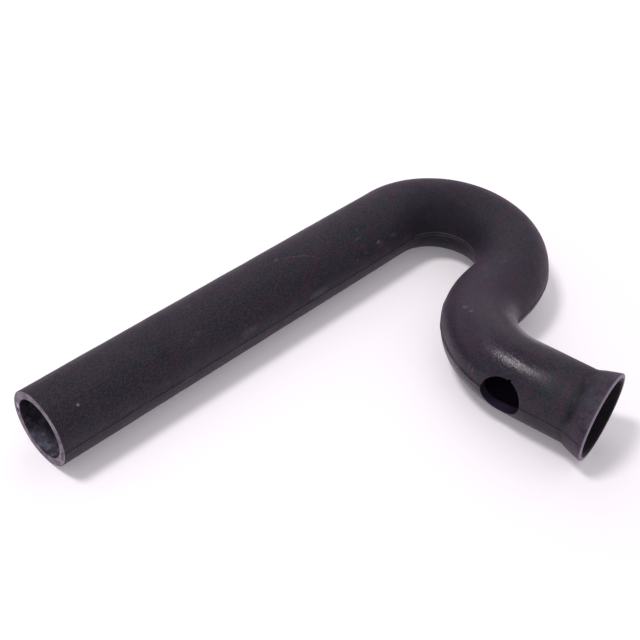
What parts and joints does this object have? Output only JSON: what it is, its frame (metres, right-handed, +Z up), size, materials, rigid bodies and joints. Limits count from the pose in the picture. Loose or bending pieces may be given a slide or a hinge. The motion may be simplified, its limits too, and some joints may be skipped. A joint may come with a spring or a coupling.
{
  "type": "p trap",
  "caption": "Moulded rubber P-trap: long straight inlet leg, U-shaped dip, crown bend with a side hole and a short outlet with a flared bell.",
  "frame": {"origin": "on the surface that the trap lies on, under the middle of its box", "axes": "+X along the long inlet leg, from its open end towards the dip; +Y from the outlet towards the inlet leg; +Z up, square to the surface. The trap's own plane is rolled 1.3 degrees about the leg, as it lies on the leg and the bell's rim."},
  "size_m": [0.3056, 0.2032, 0.0494],
  "materials": {
    "moulded_rubber": "matte moulded black rubber with a soft sheen, scuffed and dusty"
  },
  "bodies": {
    "root": {"upper_shell": "moulded_rubber", "lower_shell": "moulded_rubber"}
  },
  "joints": []
}
